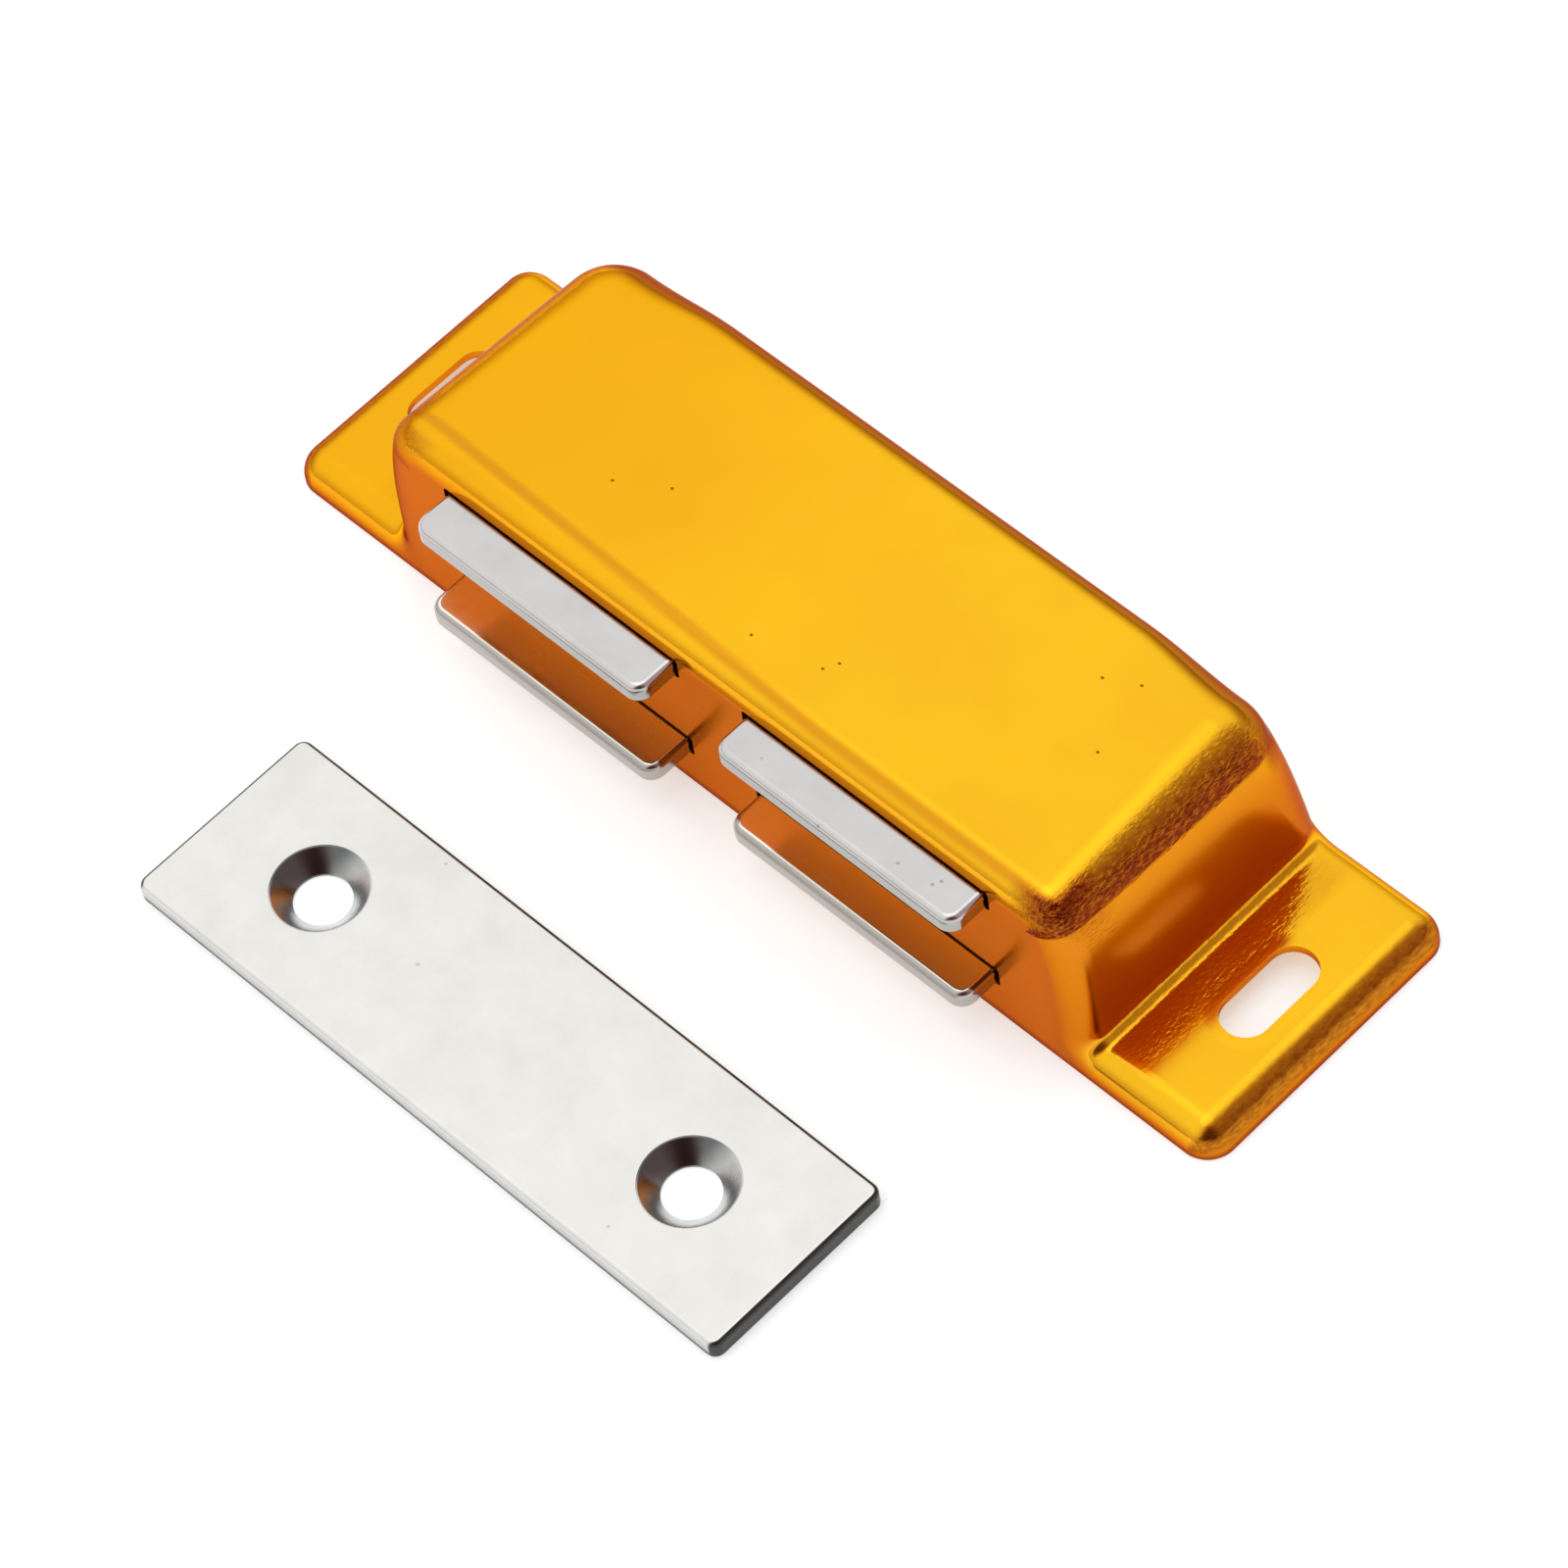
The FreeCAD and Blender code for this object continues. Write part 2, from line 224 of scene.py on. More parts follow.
class StageSettings(bpy.types.PropertyGroup):
    floor: colour("Floor", "Colour of the studio floor", (0.90, 0.98, 0.985))
    lift: share("Floor lift", "Glow that brings the lit floor up to white", 0.42)
    sky: share("Light overhead", "Strength of the light from straight above", 1.6, 4.0)
    high: share("Light from above", "Strength of the high light from the left", 1.03, 4.0)
    side: share("Light from the front", "Strength of the low light from the front", 0.74, 4.0)
    rear: share("Light from the rear", "Strength of the low light from the rear", 0.7, 4.0)
    wall: share("Light from the right", "Strength of the low light from the right", 0.9, 4.0)
    flag: share("Flag", "Share of the light that the dark flag on the right lets past", 0.52)
    front_flag: share("Front flag", "Share of the light that the flag lets past towards the front", 0.12)
    warmth: share("Warmth", "How much warmer the light's dim parts are than its bright ones", 0.5, 4.0)
    azimuth: angle("Camera azimuth", "Direction the camera looks along", 52.88)
    elevation: angle("Camera elevation", "Height of the camera above the horizon", 55.19)
    roll: angle("Camera roll", "Turn of the camera about its line of sight", -10.39)
    lens: bpy.props.FloatProperty(name="Lens", description="Focal length in mm", default=164.13, min=1.0)
    distance: length("Camera distance", "Distance from the camera to its target", 526.1 * MM)
    target: bpy.props.FloatVectorProperty(
        name="Camera target", description="Point the camera looks at", default=(1.30 * MM, -8.84 * MM, 0.0),
        size=3, subtype="TRANSLATION",
    )


# Shader nodes


def node(tree, kind, inputs=None, **settings):
    """A shader node with its settings, and with its inputs set or linked."""
    made = tree.nodes.new(kind)
    for name, value in settings.items():
        setattr(made, name, value)
    for key, value in (inputs or {}).items():
        if isinstance(value, bpy.types.NodeSocket):
            tree.links.new(value, made.inputs[key])
        else:
            made.inputs[key].default_value = value
    return made


def maths(tree, operation, first, second=0.0, third=0.0):
    inputs = {0: first, 1: second, 2: third}
    return node(tree, "ShaderNodeMath", inputs, operation=operation).outputs[0]


def absolute(tree, value):
    return maths(tree, "ABSOLUTE", value)


def less(tree, first, second):
    """The first value less the second."""
    return maths(tree, "SUBTRACT", first, second)


def times(tree, first, *factors):
    """The product of the values."""
    for factor in factors:
        first = maths(tree, "MULTIPLY", first, factor)
    return first


def most(tree, first, *others):
    """The largest of the values."""
    for other in others:
        first = maths(tree, "MAXIMUM", first, other)
    return first


def plus_times(tree, first, factor, added):
    """The first value times a factor, plus another value."""
    return maths(tree, "MULTIPLY_ADD", first, factor, added)


def blend(tree, factor, first, second):
    """From the first value to the second as the factor goes from 0 to 1."""
    return plus_times(tree, factor, less(tree, second, first), first)


def split(tree, vector):
    """A vector's X, Y and Z."""
    return node(tree, "ShaderNodeSeparateXYZ", {"Vector": vector}).outputs


def flat_vector(tree, x, y):
    return node(tree, "ShaderNodeCombineXYZ", {"X": x, "Y": y}).outputs[0]


def vector_maths(tree, operation, first, second=(0.0, 0.0, 0.0)):
    made = node(tree, "ShaderNodeVectorMath", {0: first, 1: second}, operation=operation)
    return made.outputs["Value"]


def surface_normal(tree):
    return split(tree, tree.nodes["Texture Coordinate"].outputs["Normal"])


def levelness(tree):
    """1 where the surface is level, 0 where it is upright."""
    return absolute(tree, surface_normal(tree)["Z"])


def ramp(tree, value, start, end, low=0.0, high=1.0, shape="SMOOTHSTEP"):
    """A smooth step from low to high as the value goes from start to end."""
    limits = {"From Min": start, "From Max": end, "To Min": low, "To Max": high}
    made = node(tree, "ShaderNodeMapRange", {"Value": value, **limits}, interpolation_type=shape)
    return made.outputs["Result"]


def evenly(tree, value, start, end, low=0.0, high=1.0):
    """A straight line from low to high as the value goes from start to end."""
    return ramp(tree, value, start, end, low, high, "LINEAR")


def noise(tree, vector, scale, detail=2.0, roughness=0.5):
    inputs = {"Vector": vector, "Scale": scale, "Detail": detail, "Roughness": roughness}
    return node(tree, "ShaderNodeTexNoise", inputs).outputs["Fac"]


def mix_colour(tree, factor, first, second):
    """The first colour, turning into the second as the factor goes from 0 to 1."""
    made = node(tree, "ShaderNodeMix", data_type="RGBA")
    # Sockets 6 and 7 and output 2 are the ones for colours.
    for index, value in ((0, factor), (6, first), (7, second)):
        if isinstance(value, bpy.types.NodeSocket):
            tree.links.new(value, made.inputs[index])
        else:
            made.inputs[index].default_value = value if index == 0 else (*value, 1.0)
    return made.outputs[2]


def shader_group(name, inputs, outputs):
    """A new shader node group with float inputs given as (name, default), beside its Vector input."""
    tree = bpy.data.node_groups.new(name, "ShaderNodeTree")
    tree.interface.new_socket(name="Vector", in_out="INPUT", socket_type="NodeSocketVector")
    for label, default in inputs:
        socket = tree.interface.new_socket(name=label, in_out="INPUT", socket_type="NodeSocketFloat")
        socket.default_value = default
    for label in outputs:
        tree.interface.new_socket(name=label, in_out="OUTPUT", socket_type="NodeSocketFloat")
    return tree, tree.nodes.new("NodeGroupInput").outputs, tree.nodes.new("NodeGroupOutput").inputs


def make_mottle_group():
    """Slow cloudy change between two values, as of handling and plating."""
    tree, inputs, outputs = shader_group(
        "Mottle", [("Scale", 200.0), ("Low", 0.2), ("High", 0.3)], ["Value"]
    )
    cloud = noise(tree, inputs["Vector"], inputs["Scale"], detail=3.0, roughness=0.55)
    tree.links.new(evenly(tree, cloud, 0.3, 0.7, inputs["Low"], inputs["High"]), outputs["Value"])
    return tree


def make_specks_group():
    """Sparse small pits and specks: a mask, 1 in each pit."""
    tree, inputs, outputs = shader_group(
        "Specks", [("Scale", 300.0), ("Share", 0.1), ("Size", 0.2)], ["Mask"]
    )
    cells = node(
        tree, "ShaderNodeTexVoronoi", {"Vector": inputs["Vector"], "Scale": inputs["Scale"]}, feature="F1"
    )
    spot = maths(tree, "LESS_THAN", cells.outputs["Distance"], inputs["Size"])
    pick = node(tree, "ShaderNodeSeparateColor", {"Color": cells.outputs["Color"]})
    chosen = maths(tree, "LESS_THAN", pick.outputs[0], inputs["Share"])
    tree.links.new(times(tree, spot, chosen), outputs["Mask"])
    return tree


def make_grain_group():
    """Fine rough grain: a height from 0 to 1."""
    tree, inputs, outputs = shader_group("Grain", [("Scale", 2000.0), ("Contrast", 0.25)], ["Height"])
    fine = noise(tree, inputs["Vector"], inputs["Scale"], detail=1.6, roughness=0.55)
    low = less(tree, 0.5, inputs["Contrast"])
    high = maths(tree, "ADD", 0.5, inputs["Contrast"])
    tree.links.new(evenly(tree, fine, low, high), outputs["Height"])
    return tree


def shared(name):
    """One of the shader node groups, built the first time it is asked for."""
    makers = {"Mottle": make_mottle_group, "Specks": make_specks_group, "Grain": make_grain_group}
    return bpy.data.node_groups.get(name) or makers[name]()


def place_effect(tree, name, vector, **values):
    """A shared node group placed in a material with its own values. Gives its output."""
    inputs = {"Vector": vector, **{key.capitalize(): value for key, value in values.items()}}
    return node(tree, "ShaderNodeGroup", inputs, node_tree=shared(name)).outputs[0]


def new_material(name, **constants):
    """A material with a Principled BSDF. Gives the material, its tree, shader and object coordinates."""
    material = bpy.data.materials.new(name)
    material.use_nodes = True
    tree = material.node_tree
    shader = tree.nodes["Principled BSDF"]
    for key, value in constants.items():
        shader.inputs[key.replace("_", " ")].default_value = value
    return material, tree, shader, tree.nodes.new("ShaderNodeTexCoord").outputs["Object"]


def bump(tree, shader, height, distance, strength=1.0, normal=None):
    inputs = {"Height": height, "Distance": distance, "Strength": strength}
    if normal is not None:
        inputs["Normal"] = normal
    made = node(tree, "ShaderNodeBump", inputs)
    tree.links.new(made.outputs["Normal"], shader.inputs["Normal"])
    return made.outputs["Normal"]


# Materials


def spots(tree, place, points, radius):
    """A mask of small round spots at points given in mm."""
    away = [vector_maths(tree, "DISTANCE", place, tuple(value * MM for value in point)) for point in points]
    return most(tree, *(ramp(tree, distance, radius, radius / 3) for distance in away))


def tight_grain_and_reflection_masks(tree, case, axes, level):
    """Masks of the brows, the flanges' rims and the feet, where the sheet was drawn tight: they take its
    grain and a painted dark reflection.
    """
    along, across, height = absolute(tree, axes["X"]), absolute(tree, axes["Y"]), axes["Z"]

    def turn_of_arc(centre_x, centre_z):
        """How far the surface has turned from level, round an arc's centre."""
        return maths(tree, "ARCTAN2", less(tree, along, centre_x), less(tree, height, centre_z))

    front, rear = (end_wall(case, brow)[1] for brow in (case.brow_front, case.brow_rear))
    brow_turn = turn_of_arc(*(
        evenly(tree, axes["Y"], CASE_LOW[1], CASE_HIGH[1], *ends) for ends in zip(front, rear)
    ))
    on_arc = times(
        tree, ramp(tree, brow_turn, *BROW_IN), ramp(tree, brow_turn, *BROW_OUT),
        ramp(tree, less(tree, height, case.flange), *ABOVE_FLANGE), ramp(tree, axes["Y"], *BROW_DEPTH),
    )
    corner = (case.body / 2 - CORNER_INSET, CASE_LOW[1] + CORNER_INSET, 0.0)
    from_corner = vector_maths(tree, "DISTANCE", flat_vector(tree, along, axes["Y"]), corner)
    on_corner = times(
        tree, ramp(tree, level, *CORNER_IN), ramp(tree, level, *CORNER_OUT),
        ramp(tree, height, *CORNER_HEIGHT), ramp(tree, from_corner, *CORNER_REACH),
    )
    on_brow = times(tree, most(tree, on_arc, on_corner), ramp(tree, axes["X"], *BROW_RUN))

    rim_turn = turn_of_arc(CASE_HIGH[0] - case.edge, case.flange - case.edge)
    on_rim = times(tree, ramp(tree, rim_turn, *RIM_IN), ramp(tree, rim_turn, *RIM_OUT))

    beside = less(tree, along, case.body / 2)
    on_foot = times(
        tree, ramp(tree, beside, *FOOT_IN), ramp(tree, beside, *FOOT_OUT),
        ramp(tree, axes["X"], *FOOT_RUN), ramp(tree, less(tree, CASE_HIGH[1], across), *FOOT_INSET),
    )
    return on_brow, on_rim, on_foot


def dark_bands(tree, case, axes, level):
    """A mask of painted shade: darker bands along the lowest edge, the rear top edge and the end walls."""
    beside = less(tree, absolute(tree, axes["X"]), case.body / 2)
    rear_edge = times(
        tree, ramp(tree, axes["Y"], *REAR_EDGE_DEPTH), ramp(tree, axes["Z"], *REAR_EDGE_HEIGHT),
        ramp(tree, level, *REAR_EDGE_TURN),
    )
    end_walls = times(
        tree, ramp(tree, beside, *END_WALL_IN), ramp(tree, beside, *END_WALL_OUT),
        ramp(tree, level, *END_WALL_TURN),
    )
    return most(tree, ramp(tree, axes["Z"], *SKIRT), rear_edge, end_walls)


def furrow_shade_mask(tree, axes):
    """A mask of painted shade in the band along the shallow furrow that runs behind the front edge of the
    top.
    """
    middle = evenly(tree, axes["X"], *FURROW_RUN)
    aside = absolute(tree, less(tree, less(tree, axes["Y"], CASE_LOW[1]), middle))
    depth = less(tree, CASE_HIGH[2], axes["Z"])
    return times(tree, ramp(tree, aside, *FURROW_REACH), ramp(tree, depth, *UNDER_TOP))


def slot_ridge(tree, case, axes):
    """The height of the sheet round the screw slots, which rises to 1 at their punched edge."""
    radius = case.screw_width / 2
    beyond = less(tree, absolute(tree, less(tree, axes["Y"], case.screw_y)), case.screw_length / 2 - radius)
    away = flat_vector(tree, less(tree, absolute(tree, axes["X"]), case.screw_x), most(tree, beyond, 0.0))
    return ramp(tree, less(tree, vector_maths(tree, "LENGTH", away), radius), *SLOT_RIDGE)


def gold_material(look, case):
    """Anodised sheet: mirror smooth where flat, with grain where it was drawn tight over an edge, and painted
    shade and dark reflection on its walls, edges and feet.
    """
    material, tree, shader, place = new_material(
        "Anodised gold", Metallic=1.0, Specular_Tint=(*look.gold_edge, 1.0),
        Coat_Weight=0.08, Coat_Roughness=0.08,
    )
    axes = split(tree, place)
    level = levelness(tree)
    on_brow, on_rim, on_foot = tight_grain_and_reflection_masks(tree, case, axes, level)
    tight = most(tree, on_brow, on_rim)
    pits = spots(tree, place, [(*pit, CASE_HIGH[2] / MM) for pit in TOP_PITS], PIT_RADIUS)
    run = node(tree, "ShaderNodeMapping", {"Vector": place, "Scale": (1.0, 0.42, 1.0)}).outputs["Vector"]
    grain = place_effect(tree, "Grain", run, scale=3800.0, contrast=0.22)
    patchy = plus_times(tree, grain, -0.6, 1.2)
    cloud = place_effect(tree, "Mottle", place, scale=70.0, low=0.0, high=0.22)

    base = mix_colour(tree, ramp(tree, axes["X"], *DYE_RUN), look.deep_gold, look.gold)
    # Painted shade: the upright walls, the brows, the rims and partly the feet take the darker wall gold.
    walls = most(tree, ramp(tree, level, *WALL_SHADE), tight, times(tree, on_foot, FOOT_WALL_SHADE))
    # Painted dark reflection, broken by the grain, on the brows, the rims and the feet.
    drawn = most(tree, times(tree, tight, patchy), times(tree, on_foot, patchy, FOOT_DARK))
    # Over the sheet's own colour: the mottle with painted shade in the furrow band, the painted wall shade,
    # the painted dark reflection and shade bands, and the pits.
    for mask, tint in (
        (most(tree, cloud, furrow_shade_mask(tree, axes)), look.mottle_and_furrow_shade),
        (walls, look.shaded_wall_gold),
        (most(tree, drawn, dark_bands(tree, case, axes, level)), look.grain_pits_and_shade),
        (times(tree, pits, look.wear), look.grain_pits_and_shade),
    ):
        base = mix_colour(tree, mask, base, tint)
    tree.links.new(base, shader.inputs["Base Color"])

    calm = place_effect(tree, "Mottle", place, scale=160.0, low=0.10, high=0.17)
    worn = most(tree, times(tree, tight, 0.10), ramp(tree, level, *WALL_ROUGHNESS))
    tree.links.new(maths(tree, "ADD", calm, worn), shader.inputs["Roughness"])

    ridge = times(tree, slot_ridge(tree, case, axes), RIDGE_BUMP)
    waves = plus_times(tree, noise(tree, place, 90.0, detail=1.0), WAVE_BUMP, ridge)
    first = bump(tree, shader, waves, 0.10 * MM)
    softer = times(tree, most(tree, on_foot, on_rim), RIM_GRAIN)
    rough = times(tree, grain, most(tree, on_brow, softer, PLAIN_GRAIN))
    bump(tree, shader, plus_times(tree, pits, PIT_BUMP, rough), 0.09 * MM, look.grain, first)
    return material


def steel_material(look, name, tint, side, scale, gloss, lower=None, nicks=(), sheared=False):
    """Bright plated steel with cloudy gloss and faint specks, with painted shade on its side faces.

    The lower colour is a painted reflection of the gold for plates low in the case, and a sheared plate has a
    dark cut edge, with painted shade along the foot of its sides.
    """
    material, tree, shader, place = new_material(name, Metallic=1.0)
    height = split(tree, place)["Z"]
    level = levelness(tree)
    specks = place_effect(tree, "Specks", place, scale=420.0, share=0.06, size=0.08)
    if nicks:
        specks = most(tree, specks, times(tree, spots(tree, place, nicks, NICK_RADIUS), 2.0))
    cloud = place_effect(tree, "Mottle", place, scale=scale, low=0.0, high=1.0)
    dim = tuple(0.84 * value for value in tint)
    base = mix_colour(tree, times(tree, cloud, 0.5), tint, dim)
    base = mix_colour(tree, times(tree, specks, 0.5 * look.wear), base, look.side)
    # Painted shade: the side faces take the darker side colour.
    sides = ramp(tree, level, *STEEL_SIDES)
    # Painted reflection on the lower plates, with more painted shade on their rounded edges.
    if lower:
        below = ramp(tree, height, *LOWER_PLATE)
        base = mix_colour(tree, below, base, lower)
        sides = most(tree, sides, times(tree, below, ramp(tree, level, *LOWER_PLATE_SIDES)))
    base = mix_colour(tree, sides, base, side)
    # A dark sheared edge, darkened further as painted shade, and painted shade on the sides near the mounting
    # plane.
    if sheared:
        facing = surface_normal(tree)
        outward = most(tree, absolute(tree, facing["X"]), facing["Y"])
        cut = times(tree, ramp(tree, outward, 0.12, 0.4), ramp(tree, level, *SHEARED_TURN))
        foot = times(tree, ramp(tree, height, *SIDE_FOOT_SHADE_HEIGHT), ramp(tree, level, *SIDE_FOOT_SHADE_TURN))
        base = mix_colour(tree, most(tree, cut, foot), base, look.cut_edge_and_shade)
    tree.links.new(base, shader.inputs["Base Color"])
    low, high = gloss
    rough = place_effect(tree, "Mottle", place, scale=scale * 2.1, low=low, high=high)
    tree.links.new(rough, shader.inputs["Roughness"])
    grain = place_effect(tree, "Grain", place, scale=2600.0, contrast=0.3)
    skin = plus_times(tree, cloud, CLOUD_BUMP, times(tree, grain, STEEL_GRAIN))
    bump(tree, shader, plus_times(tree, specks, SPECK_BUMP, skin), 0.02 * MM, 0.4)
    return material


def turned_material(look, middle, pitch):
    """Countersinks cut on a lathe: fine rings round each hole, with a shaded rear."""
    material, tree, shader, place = new_material("Turned steel", Metallic=1.0, Roughness=0.2)
    axes = split(tree, place)
    turn = maths(tree, "FLOORED_MODULO", less(tree, axes["X"], middle.x), pitch)
    from_hole = flat_vector(tree, less(tree, turn, pitch / 2), less(tree, axes["Y"], middle.y))
    rings = times(tree, vector_maths(tree, "LENGTH", from_hole), 2 * math.pi / RING_PITCH)
    wave = plus_times(tree, maths(tree, "SINE", rings), 0.5, 0.5)
    uneven = place_effect(tree, "Mottle", place, scale=700.0, low=0.0, high=1.0)
    cut = plus_times(tree, uneven, 0.5, wave)
    dark = tuple(0.45 * value for value in look.turned)
    base = mix_colour(tree, times(tree, cut, 0.6), look.turned, dark)
    rearward = vector_maths(tree, "DOT_PRODUCT", from_hole, (-0.92, 0.4, 0.0))
    base = mix_colour(tree, ramp(tree, rearward, *SINK_SHADE), base, look.shaded)
    tree.links.new(base, shader.inputs["Base Color"])
    bump(tree, shader, cut, 0.0025 * MM, 0.8)
    return material


def dull_material(name, tint, low, high, scale, depth):
    """A dull dark material with a fine rough skin, for the magnets and the mouldings."""
    material, tree, shader, place = new_material(name, Metallic=0.0)
    cloud = place_effect(tree, "Mottle", place, scale=scale, low=0.0, high=1.0)
    light = tuple(min(1.0, 1.9 * value) for value in tint)
    tree.links.new(mix_colour(tree, cloud, tint, light), shader.inputs["Base Color"])
    rough = place_effect(tree, "Mottle", place, scale=scale * 3, low=low, high=high)
    tree.links.new(rough, shader.inputs["Roughness"])
    grain = place_effect(tree, "Grain", place, scale=3200.0, contrast=0.2)
    bump(tree, shader, grain, depth, 0.6)
    return material


# Meshes


def new_piece(name, points, faces, *materials):
    """An object at the origin with its place in its mesh."""
    mesh = bpy.data.meshes.new(name)
    mesh.from_pydata([tuple(point) for point in points], [], faces)
    mesh.validate()
    return new_object(name, mesh, *materials)


def new_object(name, mesh, *materials):
    piece = bpy.data.objects.new(name, mesh)
    bpy.context.scene.collection.objects.link(piece)
    for material in materials:
        mesh.materials.append(material)
    return piece


def applied(piece, name):
    """The piece's mesh with its modifiers applied. The piece itself is removed."""
    graph = bpy.context.evaluated_depsgraph_get()
    mesh = bpy.data.meshes.new_from_object(
        piece.evaluated_get(graph), preserve_all_data_layers=True, depsgraph=graph
    )
    bpy.data.objects.remove(piece)
    mesh.name = name
    return mesh


def finished(piece, name):
    """The piece as one plain mesh, shaded smooth up to its sharp edges, with its large faces kept flat."""
    mesh = applied(piece, name)
    for polygon in mesh.polygons:
        polygon.use_smooth = True
    mesh.set_sharp_from_angle(angle=SMOOTH_ANGLE)
    shaded = new_object(name, mesh)
    with_modifier(shaded, "WEIGHTED_NORMAL", keep_sharp=True, weight=100)
    return new_object(name, applied(shaded, name))


def with_modifier(piece, kind, **settings):
    modifier = piece.modifiers.new(kind.title(), kind)
    for name, value in settings.items():
        setattr(modifier, name, value)
    return modifier


def tidy_mesh(piece):
    """Merges doubled points and turns the faces of the closed mesh outwards."""
    work = bmesh.new()
    work.from_mesh(piece.data)
    bmesh.ops.remove_doubles(work, verts=work.verts, dist=1e-7)
    bmesh.ops.recalc_face_normals(work, faces=work.faces)
    work.to_mesh(piece.data)
    work.free()


def quarter_arc(centre, radius, quarter, steps):
    """Points of a quarter circle, counter-clockwise after so many quarter turns."""
    points = []
    for step in range(steps + 1):
        angle = math.pi / 2 * (quarter + step / steps)
        points.append(Vector(centre) + radius * Vector((math.cos(angle), math.sin(angle))))
    return points


def rounded_rectangle(centre, half_x, half_y, radius, steps):
    """Points counter-clockwise round a rectangle with round corners."""
    points = []
    for quarter, (side_x, side_y) in enumerate(((1, 1), (-1, 1), (-1, -1), (1, -1))):
        middle = (centre[0] + side_x * (half_x - radius), centre[1] + side_y * (half_y - radius))
        points += quarter_arc(middle, radius, quarter, steps)
    return points


def moved_in(outline, distance):
    """A counter-clockwise outline moved inwards by a distance."""
    moved = []
    for index, point in enumerate(outline):
        back = (point - outline[index - 1]).normalized()
        ahead = (outline[(index + 1) % len(outline)] - point).normalized()
        first = Vector((-back.y, back.x))
        second = Vector((-ahead.y, ahead.x))
        mitre = (first + second).normalized()
        moved.append(point + mitre * (distance / mitre.dot(first)))
    return moved


def closed_tube(points, count):
    """Points and faces of a closed solid whose points come in rings of count, from its bottom up."""
    faces = [list(reversed(range(count))), list(range(len(points) - count, len(points)))]
    for low in range(0, len(points) - count, count):
        high = low + count
        for index in range(count):
            after = (index + 1) % count
            faces.append([low + index, low + after, high + after, high + index])
    return points, faces


def rolled_slab(outline, bottom, top, burr, edge, steps=6):
    """Points and faces of a plate with its lower and upper edges rounded."""
    turns = [math.pi / 2 * step / steps for step in range(steps + 1)]
    rings = [(burr * (1 - math.sin(turn)), bottom + burr * (1 - math.cos(turn))) for turn in turns]
    rings += [(edge * (1 - math.cos(turn)), top - edge * (1 - math.sin(turn))) for turn in turns]
    points = []
    for inset, height in rings:
        points += [Vector((*point, height)) for point in moved_in(outline, inset)]
    return closed_tube(points, len(outline))


def lathe(profile, centre, segments=160):
    """Points and faces of a closed turned solid, from (radius, height) pairs going up."""
    points = []
    for radius, height in profile:
        for segment in range(segments):
            angle = 2 * math.pi * segment / segments
            x, y = centre[0] + radius * math.cos(angle), centre[1] + radius * math.sin(angle)
            points.append(Vector((x, y, height)))
    return closed_tube(points, segments)


def joined(parts):
    """Points and faces of several solids as one."""
    points = []
    faces = []
    for more_points, more_faces in parts:
        start = len(points)
        points += more_points
        faces += [[start + index for index in face] for face in more_faces]
    return points, faces


# The drawn case


def end_wall(case, brow):
    """Rows (x, z, lean) up the right end wall, and the centre (x, z) of the brow's arc above it.

    The wall stands nearly upright at its foot and leans in more and more towards the brow.
    """
    rows = 14
    foot = case.flange + case.foot * (1 - math.sin(case.foot_lean))
    rise = CASE_HIGH[2] - brow * (1 - math.sin(case.brow_lean)) - foot
    x = case.body / 2
    places = [(x, foot, case.foot_lean)]
    for row in range(1, rows + 1):
        low, high = ((row - 1) / rows) ** 2, (row / rows) ** 2
        spread = case.brow_lean - case.foot_lean
        x -= math.tan(case.foot_lean + spread * (low + high) / 2) * rise / rows
        places.append((x, foot + rise * row / rows, case.foot_lean + spread * high))
    return places, (x - brow * math.cos(case.brow_lean), CASE_HIGH[2] - brow)


def side_profile(case, brow):
    """Stations up the right flange, end wall and brow to the middle of the top.

    Each is (x, z, normal x, normal z, rear corner radius).
    """
    half = CASE_HIGH[0]
    stations = [(half, 0.0, 1.0, 0.0, case.edge)]

    def arc(centre, radius, start, end, steps, rear):
        for step in range(steps + 1):
            turn = start + (end - start) * step / steps
            normal = Vector((math.cos(turn), math.sin(turn)))
            point = Vector(centre) + radius * normal
            stations.append((point.x, point.y, normal.x, normal.y, rear))

    upright = math.pi / 2
    wall, brow_centre = end_wall(case, brow)
    arc((half - case.edge, case.flange - case.edge), case.edge, 0.0, upright, 16, case.edge)
    foot_centre = (wall[0][0] + case.foot * math.cos(case.foot_lean), case.flange + case.foot)
    arc(foot_centre, -case.foot, upright, case.foot_lean, 14, case.edge)
    for row, (x, z, lean) in enumerate(wall[1:-1], 1):
        rear = case.edge + (case.corner - case.edge) * row / len(wall)
        stations.append((x, z, math.cos(lean), math.sin(lean), rear))
    arc(brow_centre, brow, case.brow_lean, upright, 24, case.corner)
    run_steps = 10
    for step in range(1, run_steps + 1):
        done = step / run_steps
        rear = case.corner + (case.rear_top - case.corner) * done * done * (3 - 2 * done)
        stations.append((brow_centre[0] - case.corner_run * done, CASE_HIGH[2], 0.0, 1.0, rear))
    return stations


def both_sides(stations):
    """The stations of the right half, followed by the same mirrored for the left half."""
    mirrored = [(-x, z, -normal_x, *others) for x, z, normal_x, *others in reversed(stations)]
    return stations + mirrored


